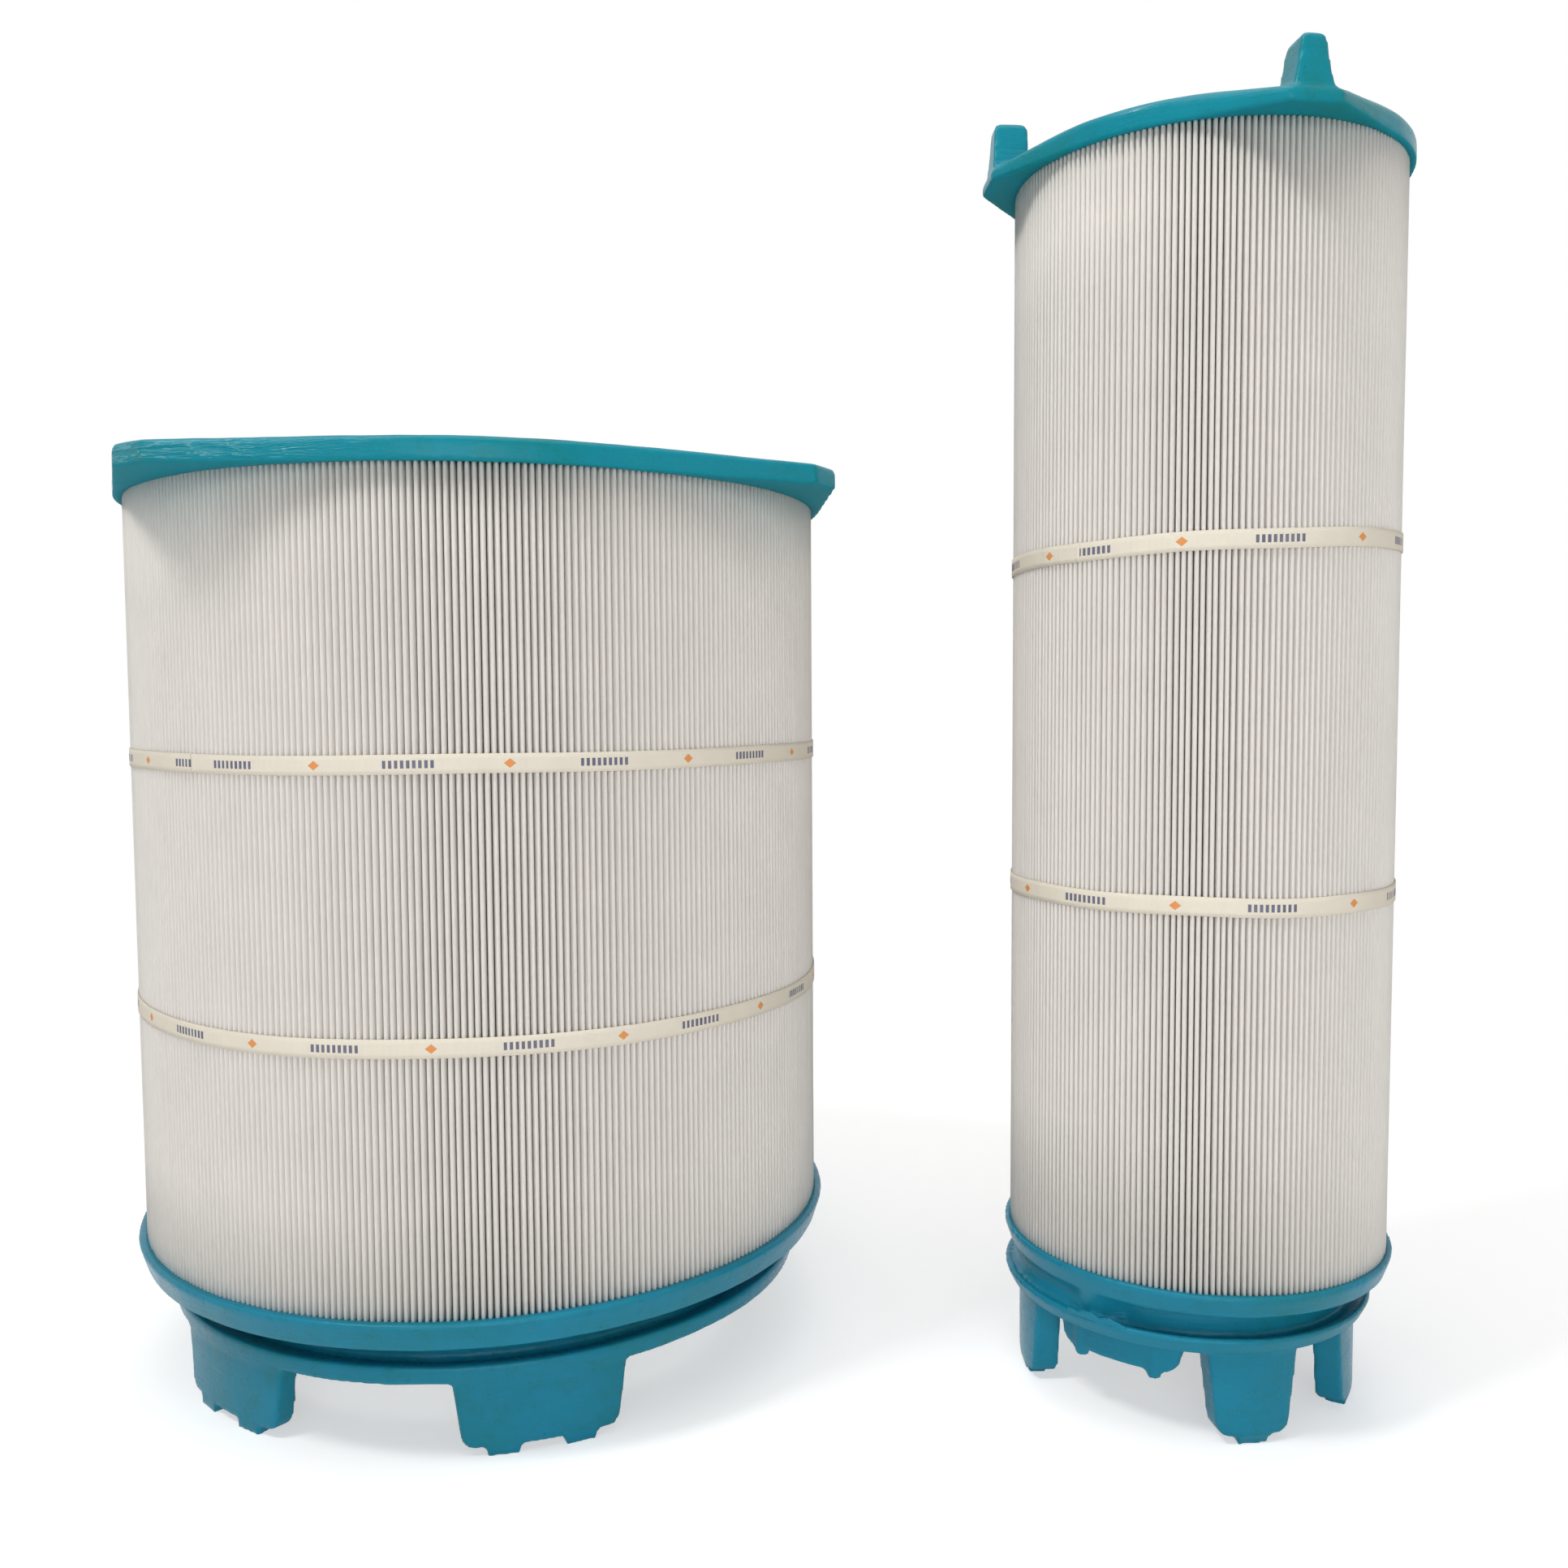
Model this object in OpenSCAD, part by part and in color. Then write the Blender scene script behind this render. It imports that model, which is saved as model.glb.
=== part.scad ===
// Pleated filter cartridge set for a pool filter tank.
// A wide outer module and a slim, taller inner module stand side by side on their cast feet.
// Each module is a pleated pack on a windowed core, potted into two cast end caps and strapped twice.
// Angles are measured from the front (-Y) towards +X.

/* [Outer module] */
// Diameter over the pleat tips
outer_pleat_d = 530; // [480:1:580]
// Radial depth of a pleat
outer_pleat_depth = 66; // [50:1:80]
// Number of pleats round the pack
outer_pleats = 368; // [240:1:400]
// Height of pleats that shows between the caps
outer_pleat_h = 549; // [450:1:650]
// Wall of the support core
outer_core_wall = 5; // [4:0.5:8]
// Windows round the core
outer_core_columns = 16; // [12:2:28]
// Rows of windows up the core
outer_core_rows = 8; // [6:1:12]
// Middle of the lower band above the foot of the pleats
outer_lower_band_z = 178; // [100:1:220]
// Middle of the upper band above the foot of the pleats
outer_upper_band_z = 360; // [280:1:420]

/* [Outer end caps] */
// Thickness of the top cap
outer_top_t = 16; // [13:0.5:24]
// Rim of the top cap outside the pleat tips
outer_top_rim = 6; // [4:0.5:12]
// How far each flat lobe stands out from the round rim
outer_lobe_out = 38; // [25:0.5:45]
// Width of a lobe's flat end
outer_lobe_w = 30; // [20:1:60]
// Direction of the first lobe
outer_lobe_at = -33; // [-45:1:45]
// Thickness of a lobe at its end
outer_lobe_t = 15; // [10:0.5:20]
// Rim of the bottom cap outside the pleat tips
outer_foot_rim = 6; // [4:0.5:10]
// Height of the bottom cap's ring
outer_ring_h = 20.5; // [16:0.5:28]
// Height of the neck between ring and seal
outer_neck_h = 19; // [12:0.5:24]
// Depth of the neck behind the pleat tips
outer_neck_in = 42; // [34:0.5:50]
// Height of the lip seal
outer_seal_h = 13.5; // [11:0.5:20]
// Gap between the seal's edge and the pleat tips, seen from above
outer_seal_in = 18; // [12:0.5:24]
// How far the seal's edge stands out over its foot
outer_seal_flare = 1.5; // [1:0.5:6]
// Height of the legs
outer_leg_h = 45; // [30:0.5:60]
// Width of a leg at its top
outer_leg_top_w = 118; // [90:1:130]
// Width of a leg at its foot
outer_leg_foot_w = 108; // [80:1:115]
// Radial thickness of a leg
outer_leg_t = 14; // [12:0.5:26]
// How far a leg's face stands back from the seal's edge
outer_leg_in = 2; // [1.5:0.5:12]
// Direction of the middle of the near leg pair
outer_legs_at = -10; // [-40:0.5:40]
// Angle between the two legs of the near pair
outer_leg_pair_angle = 57; // [50:1:70]
// Angle from a near leg to the far leg beyond it
outer_leg_side_angle = 125; // [90:1:130]
// Distance between the two tabs under a leg
outer_tab_pitch = 51; // [40:1:60]

/* [Inner module] */
// Diameter over the pleat tips
inner_pleat_d = 270; // [240:1:300]
// Radial depth of a pleat
inner_pleat_depth = 45; // [36:1:54]
// Number of pleats round the pack
inner_pleats = 208; // [140:1:220]
// Height of pleats that shows between the caps
inner_pleat_h = 755; // [650:1:850]
// Wall of the support core
inner_core_wall = 4; // [3:0.5:6]
// Windows round the core
inner_core_columns = 12; // [8:2:16]
// Rows of windows up the core
inner_core_rows = 10; // [8:1:18]
// Middle of the lower band above the foot of the pleats
inner_lower_band_z = 257; // [150:1:320]
// Middle of the upper band above the foot of the pleats
inner_upper_band_z = 494; // [400:1:600]
// Slope of the upper band, which was strapped slightly askew
inner_upper_band_tilt = 2; // [0:0.25:4]

/* [Inner end caps] */
// Thickness of the top cap
inner_top_t = 16; // [13:0.5:24]
// Rim of the top cap outside the pleat tips
inner_top_rim = 4; // [3:0.5:8]
// How far each lobe stands out from the round rim
inner_lobe_out = 19.5; // [12:0.5:26]
// Width of a lobe's flat end
inner_lobe_w = 34; // [32:1:46]
// Direction of the first lobe
inner_lobe_at = -87; // [-120:0.5:0]
// Thickness of a lobe at its end
inner_lobe_t = 10; // [8:0.5:14]
// Height of a lifting lug above the cap
lug_h = 28; // [20:0.5:40]
// Width of a lug above its foot
lug_w = 21; // [18:0.5:24]
// Width of a lug at its top
lug_top_w = 16; // [13:0.5:18]
// Radial depth of a lug
lug_depth = 26; // [18:0.5:28]
// Rim of the bottom cap outside the pleat tips
inner_foot_rim = 4; // [3:0.5:8]
// Height of the bottom cap's ring
inner_ring_h = 16; // [13:0.5:24]
// Height of the neck between ring and seal
inner_neck_h = 16; // [10:0.5:20]
// Depth of the neck behind the pleat tips
inner_neck_in = 20; // [15:0.5:26]
// Height of the lip seal
inner_seal_h = 12.5; // [10:0.5:18]
// Gap between the seal's edge and the pleat tips, seen from above
inner_seal_in = 3.5; // [2:0.5:8]
// How far the seal's edge stands out over its foot
inner_seal_flare = 5; // [1:0.5:6]
// How far seal and legs were cast off the pleats' axis, towards -X
inner_seal_off = 7; // [0:0.5:12]
// Height of the legs
inner_leg_h = 60; // [40:0.5:80]
// Width of a leg at its top
inner_leg_top_w = 65; // [50:1:75]
// Width of a leg at its foot
inner_leg_foot_w = 52; // [40:1:60]
// Radial thickness of a leg
inner_leg_t = 18; // [14:0.5:24]
// How far a leg's face stands back from the seal's edge
inner_leg_in = 11; // [6:0.5:14]
// Direction of the middle of the near leg pair
inner_legs_at = 34.5; // [0:0.5:60]
// Angle between the two legs of the near pair
inner_leg_pair_angle = 53; // [48:1:74]
// Angle from a near leg to the side leg beyond it
inner_leg_side_angle = 96; // [86:1:108]
// Height of the skirt segments between the legs
skirt_h = 23; // [14:0.5:32]
// Width of a skirt segment
skirt_w = 98; // [80:1:112]
// Wall of a skirt segment
skirt_t = 7; // [5:0.5:10]
// Distance between the two ribs of a skirt segment
skirt_rib_pitch = 57; // [44:1:72]

/* [Shared by both modules] */
// Depth to which pleats and core sit in a cap
pot_depth = 8; // [5:0.5:10]
// Cap wall that stands inside the core
cap_lip = 6; // [4:0.5:10]
// Clearance round every piece that is potted into a cap
seat_gap = 0.3; // [0.2:0.05:0.6]
// Thickness of the filter fabric, which a folded edge shows twice
fabric_t = 0.7; // [0.5:0.05:0.8]
// Height of a band
band_h = 12.7; // [8:0.1:20]
// Thickness of a band
band_t = 0.8; // [0.5:0.1:1.2]
// Length over which a band's ends overlap
band_overlap = 32; // [20:1:60]
// Rounding of the caps' top edges
cap_round = 4; // [2:0.5:6]
// Angle between the two lobes of a top cap that lie on one side
lobe_pair_angle = 95; // [85:1:110]
// Rounding of a leg's lower corners
leg_corner = 10; // [6:0.5:14]
// Height of the tabs that meet the floor
tab_h = 5.5; // [4:0.5:10]
// Width of a tab
tab_w = 22; // [14:0.5:28]
// Radial depth of a tab
tab_depth = 14; // [10:0.5:16]

/* [Placing] */
// Distance between the two module axes along X
spacing_x = 547; // [460:1:700]
// How far the inner module stands in front of the outer one
spacing_y = 113; // [0:1:200]

/* [Hidden] */
$fn = 96;
cap_teal = [0.13, 0.50, 0.58];
fabric_white = [0.90, 0.88, 0.84];
core_white = [0.86, 0.87, 0.86];
band_cream = [0.89, 0.87, 0.80];
// Overlap that joins features of one casting
join = 2;
// Step between a lobe's flat end and its lug's front face
lug_inset = 2;
eps = 0.01;

// Radii and levels of the outer module
outer_r = outer_pleat_d / 2;
outer_valley_r = outer_r - outer_pleat_depth;
outer_core_r = outer_valley_r - fabric_t - seat_gap;
outer_bore_r = outer_core_r - outer_core_wall - seat_gap - cap_lip;
outer_top_r = outer_r + outer_top_rim;
outer_lobe_r = outer_top_r + outer_lobe_out;
outer_seal_z = tab_h + outer_leg_h;
outer_neck_z = outer_seal_z + outer_seal_h;
outer_ring_z = outer_neck_z + outer_neck_h;
outer_pleat_z = outer_ring_z + outer_ring_h;
outer_top_z = outer_pleat_z + outer_pleat_h;

// Radii and levels of the inner module
inner_r = inner_pleat_d / 2;
inner_valley_r = inner_r - inner_pleat_depth;
inner_core_r = inner_valley_r - fabric_t - seat_gap;
inner_bore_r = inner_core_r - inner_core_wall - seat_gap - cap_lip;
inner_top_r = inner_r + inner_top_rim;
inner_lobe_r = inner_top_r + inner_lobe_out;
inner_seal_z = tab_h + inner_leg_h;
inner_neck_z = inner_seal_z + inner_seal_h;
inner_ring_z = inner_neck_z + inner_neck_h;
inner_pleat_z = inner_ring_z + inner_ring_h;
inner_top_z = inner_pleat_z + inner_pleat_h;

// The origin is on the floor, in the middle of the pair's footprint
outer_x = -(spacing_x + inner_top_r - outer_top_r) / 2;
outer_y = (spacing_y + inner_lobe_r - outer_lobe_r) / 2;
inner_x = outer_x + spacing_x;
inner_y = outer_y - spacing_y;

// Band seams
outer_upper_seam_at = -38;
outer_lower_seam_at = 152;
inner_upper_seam_at = -58;
inner_lower_seam_at = 205;

// Directions of lobes, of legs about the middle of the near pair, and of the skirt segments between them
lobe_angles = [0, lobe_pair_angle, 180 + lobe_pair_angle / 2];
function leg_angles(pair, side) = [-pair / 2, pair / 2, -pair / 2 - side, pair / 2 + side];
function skirt_angles(pair, side) = [-(pair + side) / 2, (pair + side) / 2, 180];

function polar(r, a) = [r * cos(a), r * sin(a)];

function arc(centre, r, from, to, steps = 6) =
    [for (i = [0:steps]) centre + polar(r, from + (to - from) * i / steps)];

function turned(p, a) = [p[0] * cos(a) - p[1] * sin(a), p[0] * sin(a) + p[1] * cos(a)];

// Round rim with flat lobe ends: each end's corners run tangent to the rim
function lobed_outline(rim_r, lobe_r, half_w) = let (
    corner = [lobe_r, half_w],
    touch = atan2(half_w, lobe_r) + acos(rim_r / norm(corner)),
    next = [for (i = [1:len(lobe_angles)]) i < len(lobe_angles) ? lobe_angles[i] : 360]
) [for (i = [0:len(lobe_angles) - 1]) each [for (p = concat(
    [[lobe_r, -half_w], corner], arc([0, 0], rim_r, touch, next[i] - lobe_angles[i] - touch, 24)
)) turned(p, lobe_angles[i])]];

function degrees_along(length, r) = length / r * 180 / PI;

module at_outer() {
    translate([outer_x, outer_y, 0]) children();
}

module at_inner() {
    translate([inner_x, inner_y, 0]) children();
}

// Turns a shape drawn towards +X to face an angle measured from the front
module facing(a) {
    rotate([0, 0, a - 90]) children();
}

module tube(outside_r, inside_r, h) {
    difference() {
        cylinder(r = outside_r, h = h);
        translate([0, 0, -1]) cylinder(r = inside_r, h = h + 2);
    }
}

// Pleated sheet: one closed zigzag of fabric, folded flat on itself at the tips and in the valleys
module pleated_pack(tip_r, valley_r, count, h) {
    step = 360 / count;
    tip = degrees_along(fabric_t, tip_r);
    valley = degrees_along(fabric_t, valley_r);
    outside_face = [for (i = [0:count - 1]) let (a = i * step) each [
        polar(tip_r, a - tip), polar(tip_r, a + tip), polar(valley_r, a + step / 2)
    ]];
    inside_face = [for (i = [0:count - 1]) let (a = i * step) each [
        polar(tip_r - fabric_t, a),
        polar(valley_r - fabric_t, a + step / 2 - valley), polar(valley_r - fabric_t, a + step / 2 + valley)
    ]];
    n = len(outside_face);
    linear_extrude(h) polygon(
        concat(outside_face, inside_face), [[for (i = [0:n - 1]) i], [for (i = [0:n - 1]) n + i]]
    );
}

// Support core: a tube with rows of windows, each cutter opening two windows that face each other
module windowed_core(outside_r, wall, h, columns, rows) {
    pitch = h / rows;
    window_h = pitch * 0.72;
    window_w = 2 * PI * outside_r / columns * 0.72;
    difference() {
        tube(outside_r, outside_r - wall, h);
        for (row = [0:rows - 1], column = [0:columns / 2 - 1])
            translate([0, 0, (row + 0.5) * pitch]) rotate([0, 0, column * 360 / columns])
                cube([2 * outside_r + 2, window_w, window_h], center = true);
    }
}

// Strap round the pleat tips, with its glued end lapping over its start; a tilt slopes it
module strap(tip_r, middle_z, seam_at, tilt = 0) {
    inside_r = tip_r + seat_gap;
    lap = degrees_along(band_overlap, inside_r);
    rise = tip_r * tan(tilt);
    intersection() {
        translate([0, 0, middle_z - band_h / 2 - rise]) union() {
            tube(inside_r + band_t, inside_r, band_h + 2 * rise);
            facing(seam_at - lap / 2) rotate_extrude(angle = lap)
                translate([inside_r + band_t / 2, 0]) square([1.5 * band_t, band_h + 2 * rise]);
        }
        translate([0, 0, middle_z]) rotate([0, -tilt, 0])
            cube([3 * tip_r, 3 * tip_r, band_h], center = true);
    }
}

// Pocket in a cap for the ends of pack and core
module pot_pocket(pleat_r, core_r, wall) {
    tube(pleat_r + seat_gap, core_r - wall - seat_gap, pot_depth + seat_gap + eps);
}

// Flange with a rounded top edge, which falls away towards the ends of its flat-ended lobes
module lobed_flange(rim_r, lobe_r, lobe_w, lobe_at, t, lobe_t) {
    edge = [[cap_round, 0], [cap_round * 0.29, cap_round * 0.29], [0, cap_round]];
    facing(lobe_at) hull() for (layer = edge) {
        linear_extrude(t - layer[0]) circle(r = rim_r - layer[1]);
        linear_extrude(lobe_t - layer[0])
            polygon(lobed_outline(rim_r - layer[1], lobe_r - layer[1], lobe_w / 2 - layer[1]));
    }
}

// Upright lug: flared foot, tapering sides and a rounded top, cut from two crossed outlines
module lifting_lug() {
    flare = 4;
    sunk = max(0, inner_top_t - inner_lobe_t) + cap_round + join;
    front_round = 5;
    back_round = 7;
    lean = 2.5;
    front = concat(
        [[-lug_w / 2 - flare, -sunk], [lug_w / 2 + flare, -sunk]],
        [[lug_w / 2 + flare / 3, flare / 2], [lug_w / 2, 2 * flare]],
        arc([lug_top_w / 2 - front_round, lug_h - front_round], front_round, 0, 90),
        arc([-lug_top_w / 2 + front_round, lug_h - front_round], front_round, 90, 180),
        [[-lug_w / 2, 2 * flare], [-lug_w / 2 - flare / 3, flare / 2]]
    );
    side = concat(
        [[0, -sunk], [lug_depth, -sunk]],
        arc([lug_depth - lean - front_round, lug_h - front_round], front_round, 0, 90),
        arc([back_round, lug_h - back_round], back_round, 90, 180)
    );
    intersection() {
        translate([-1, 0, 0]) rotate([90, 0, 90]) linear_extrude(lug_depth + 2) polygon(front);
        translate([0, lug_w, 0]) rotate([90, 0, 0]) linear_extrude(2 * lug_w) polygon(side);
    }
}

// Slab bent round the axis that narrows downwards to rounded corners; its foot is at z = 0
module arc_slab(outside_r, t, top_w, foot_w, h, corner) {
    outline = concat(
        [[top_w / 2, h + join], [-top_w / 2, h + join]],
        arc([-foot_w / 2 + corner, corner], corner, 180, 270),
        arc([foot_w / 2 - corner, corner], corner, 270, 360)
    );
    intersection() {
        tube(outside_r, outside_r - t, h + join);
        rotate([90, 0, 90]) linear_extrude(outside_r + 1) polygon(outline);
    }
}

// Tab under a leg, set off sideways from the leg's middle
module foot_tab(middle_r, sideways) {
    rotate([0, 0, degrees_along(sideways, middle_r)])
        translate([middle_r - tab_depth / 2, -tab_w / 2, 0]) cube([tab_depth, tab_w, tab_h + join]);
}

// Potting ring of a bottom cap, drawn in below and soft at both edges
module pot_ring(rim_r, ring_z, pleat_z) {
    taper = (pleat_z - ring_z) / 4;
    soft = 2.5;
    rotate_extrude($fn = 180) polygon(concat(
        [[0, ring_z], [rim_r - taper - soft, ring_z]],
        arc([rim_r - taper - soft, ring_z + soft], soft, -90, -10, 4),
        arc([rim_r - soft, pleat_z - soft], soft, 0, 90, 4),
        [[0, pleat_z]]
    ));
}

// Deep neck under the ring and the lip seal below it
module lip_seal(neck_r, seal_r, flare, seal_z, neck_z, ring_z) {
    lip_t = (neck_z - seal_z) / 5;
    groove_z = (seal_z + neck_z) / 2;
    rotate_extrude($fn = 180) polygon(concat(
        [[0, seal_z], [seal_r - flare, seal_z]],
        arc([seal_r - lip_t, neck_z - lip_t], lip_t, -5, 110),
        [[neck_r + lip_t, groove_z], [neck_r, groove_z + lip_t], [neck_r, ring_z + join], [0, ring_z + join]]
    ));
}

module outer_top_cap() {
    color(cap_teal) at_outer() translate([0, 0, outer_top_z]) difference() {
        lobed_flange(outer_top_r, outer_lobe_r, outer_lobe_w, outer_lobe_at, outer_top_t, outer_lobe_t);
        translate([0, 0, -1]) cylinder(r = outer_bore_r, h = outer_top_t + 2);
        translate([0, 0, -eps]) pot_pocket(outer_r, outer_core_r, outer_core_wall);
    }
}

module outer_bottom_cap() {
    seal_r = outer_r - outer_seal_in;
    leg_r = seal_r - outer_leg_in;
    color(cap_teal) at_outer() difference() {
        union() {
            pot_ring(outer_r + outer_foot_rim, outer_ring_z, outer_pleat_z);
            lip_seal(outer_r - outer_neck_in, seal_r, outer_seal_flare,
                outer_seal_z, outer_neck_z, outer_ring_z);
            for (a = leg_angles(outer_leg_pair_angle, outer_leg_side_angle)) facing(outer_legs_at + a) {
                translate([0, 0, tab_h])
                    arc_slab(leg_r, outer_leg_t, outer_leg_top_w, outer_leg_foot_w, outer_leg_h, leg_corner);
                for (side = [-1, 1]) foot_tab(leg_r - outer_leg_t / 2, side * outer_tab_pitch / 2);
            }
        }
        cylinder(r = outer_bore_r, h = outer_top_z);
        translate([0, 0, outer_pleat_z - pot_depth - seat_gap])
            pot_pocket(outer_r, outer_core_r, outer_core_wall);
    }
}

module outer_media() {
    color(fabric_white) at_outer() translate([0, 0, outer_pleat_z - pot_depth])
        pleated_pack(outer_r, outer_valley_r, outer_pleats, outer_pleat_h + 2 * pot_depth);
}

module outer_core() {
    color(core_white) at_outer() translate([0, 0, outer_pleat_z - pot_depth]) windowed_core(
        outer_core_r, outer_core_wall, outer_pleat_h + 2 * pot_depth, outer_core_columns, outer_core_rows
    );
}

module outer_upper_band() {
    color(band_cream) at_outer()
        strap(outer_r, outer_pleat_z + outer_upper_band_z, outer_upper_seam_at);
}

module outer_lower_band() {
    color(band_cream) at_outer()
        strap(outer_r, outer_pleat_z + outer_lower_band_z, outer_lower_seam_at);
}

module inner_top_cap() {
    color(cap_teal) at_inner() translate([0, 0, inner_top_z]) difference() {
        union() {
            lobed_flange(inner_top_r, inner_lobe_r, inner_lobe_w, inner_lobe_at, inner_top_t, inner_lobe_t);
            for (a = lobe_angles) facing(inner_lobe_at + a)
                translate([inner_lobe_r - lug_inset - lug_depth, 0, inner_top_t]) lifting_lug();
        }
        translate([0, 0, -1]) cylinder(r = inner_bore_r, h = inner_top_t + 2);
        translate([0, 0, -eps]) pot_pocket(inner_r, inner_core_r, inner_core_wall);
    }
}

module inner_bottom_cap() {
    seal_r = inner_r - inner_seal_in;
    leg_r = seal_r - inner_leg_in;
    skirt_r = leg_r - inner_leg_t / 2;
    rib_r = skirt_t * 0.7;
    color(cap_teal) at_inner() difference() {
        union() {
            pot_ring(inner_r + inner_foot_rim, inner_ring_z, inner_pleat_z);
            translate([-inner_seal_off, 0, 0]) {
                lip_seal(inner_r - inner_neck_in, seal_r, inner_seal_flare,
                    inner_seal_z, inner_neck_z, inner_ring_z);
                for (a = leg_angles(inner_leg_pair_angle, inner_leg_side_angle)) facing(inner_legs_at + a) {
                    translate([0, 0, tab_h])
                        arc_slab(leg_r, inner_leg_t, inner_leg_top_w, inner_leg_foot_w, inner_leg_h,
                            leg_corner);
                    foot_tab(leg_r - inner_leg_t / 2, 0);
                }
                for (a = skirt_angles(inner_leg_pair_angle, inner_leg_side_angle))
                    facing(inner_legs_at + a) translate([0, 0, inner_seal_z - skirt_h]) {
                        arc_slab(skirt_r, skirt_t, skirt_w, skirt_w - leg_corner, skirt_h, leg_corner);
                        for (side = [-1, 1])
                            rotate([0, 0, degrees_along(side * skirt_rib_pitch / 2, skirt_r)])
                                translate([skirt_r - skirt_t / 2, 0, -rib_r])
                                    cylinder(r = rib_r, h = skirt_h + rib_r + join);
                    }
            }
        }
        cylinder(r = inner_bore_r, h = inner_top_z);
        translate([0, 0, inner_pleat_z - pot_depth - seat_gap])
            pot_pocket(inner_r, inner_core_r, inner_core_wall);
    }
}

module inner_media() {
    color(fabric_white) at_inner() translate([0, 0, inner_pleat_z - pot_depth])
        pleated_pack(inner_r, inner_valley_r, inner_pleats, inner_pleat_h + 2 * pot_depth);
}

module inner_core() {
    color(core_white) at_inner() translate([0, 0, inner_pleat_z - pot_depth]) windowed_core(
        inner_core_r, inner_core_wall, inner_pleat_h + 2 * pot_depth, inner_core_columns, inner_core_rows
    );
}

module inner_upper_band() {
    color(band_cream) at_inner()
        strap(inner_r, inner_pleat_z + inner_upper_band_z, inner_upper_seam_at, inner_upper_band_tilt);
}

module inner_lower_band() {
    color(band_cream) at_inner()
        strap(inner_r, inner_pleat_z + inner_lower_band_z, inner_lower_seam_at);
}

outer_top_cap();
outer_bottom_cap();
outer_media();
outer_core();
outer_upper_band();
outer_lower_band();
inner_top_cap();
inner_bottom_cap();
inner_media();
inner_core();
inner_upper_band();
inner_lower_band();
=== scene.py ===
"""Dresses the pool filter cartridge set: pleats, straps, cast end caps, cores and a white studio."""

import math
import random

import bpy
from mathutils import Matrix, Vector


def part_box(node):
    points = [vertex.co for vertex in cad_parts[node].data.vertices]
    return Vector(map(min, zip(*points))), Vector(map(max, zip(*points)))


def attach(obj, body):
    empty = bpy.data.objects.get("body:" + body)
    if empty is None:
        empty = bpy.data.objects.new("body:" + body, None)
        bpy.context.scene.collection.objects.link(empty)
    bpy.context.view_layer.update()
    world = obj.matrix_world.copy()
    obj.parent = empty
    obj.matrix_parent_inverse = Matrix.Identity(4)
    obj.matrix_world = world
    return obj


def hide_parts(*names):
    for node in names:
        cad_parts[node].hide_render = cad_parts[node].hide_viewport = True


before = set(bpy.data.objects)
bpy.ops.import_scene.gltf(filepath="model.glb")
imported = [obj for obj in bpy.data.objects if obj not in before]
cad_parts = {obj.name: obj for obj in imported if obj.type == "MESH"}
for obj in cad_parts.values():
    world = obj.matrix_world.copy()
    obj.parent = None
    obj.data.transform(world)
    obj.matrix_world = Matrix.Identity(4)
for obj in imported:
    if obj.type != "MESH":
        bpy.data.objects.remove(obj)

bl_info = {
    "name": "Filter cartridge set",
    "version": (1, 0, 0),
    "blender": (4, 5, 0),
    "location": "3D View > Sidebar > Filter set",
    "description": "Builds the two pleated filter modules over their packed solids",
    "category": "Object",
}

MM = 0.001
FULL_TURN = 2 * math.pi
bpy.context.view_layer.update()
MODULES = ("outer", "inner")

# Points closer than this are one point
MERGE = 0.01 * MM
# Gap between a core and the inner folds of its pleats
CORE_GAP = 1.0 * MM
# Seeds of what is uneven
PLEAT_SEED = 11
STRAP_SEED = 31
FLASH_SEED = 61


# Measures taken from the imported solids

class Module:
    """Axis, radii and levels of one module, in metres."""

    def __init__(self, name):
        self.name = name
        self.body = name + "_module"
        low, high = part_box(name + "_media")
        self.axis = Vector(((low.x + high.x) / 2, (low.y + high.y) / 2, 0))
        self.tip_r = (high.x - low.x) / 2
        self.sheet_low = low.z
        self.sheet_high = high.z
        ring_low, ring_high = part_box(name + "_bottom_cap")
        self.ring_r = (ring_high.x - ring_low.x) / 2
        self.foot = ring_high.z
        self.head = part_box(name + "_top_cap")[0].z
        core_low, core_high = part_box(name + "_core")
        self.core_r = (core_high.x - core_low.x) / 2
        self.valley_r = self.core_r + CORE_GAP

    def strap(self, which):
        """Middle height of a strap, and its height from lowest to highest point."""
        low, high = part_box(f"{self.name}_{which}_band")
        return (low.z + high.z) / 2, high.z - low.z


SET = {name: Module(name) for name in MODULES}


# Shader sums

# Places of the colour sockets among all those of a Mix node
MIX_SHARE = 0
MIX_FIRST = 6
MIX_SECOND = 7
MIX_RESULT = 2


class Value:
    """An output socket that adds Math nodes as sums are written on it."""

    def __init__(self, finish, socket):
        self.finish = finish
        self.socket = socket

    def sum(self, operation, first, second=0.0):
        return self.finish.add("ShaderNodeMath", {"operation": operation}, {0: first, 1: second})

    def __add__(self, other):
        return self.sum("ADD", self, other)

    __radd__ = __add__

    def __sub__(self, other):
        return self.sum("SUBTRACT", self, other)

    def __rsub__(self, other):
        return self.sum("SUBTRACT", other, self)

    def __mul__(self, other):
        return self.sum("MULTIPLY", self, other)

    __rmul__ = __mul__

    def __gt__(self, other):
        return self.sum("GREATER_THAN", self, other)

    def __lt__(self, other):
        return self.sum("LESS_THAN", self, other)

    def __abs__(self):
        return self.sum("ABSOLUTE", self)

    def fract(self):
        return self.sum("FRACT", self)

    def sine(self):
        return self.sum("SINE", self)

    def larger(self, other):
        return self.sum("MAXIMUM", self, other)


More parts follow.
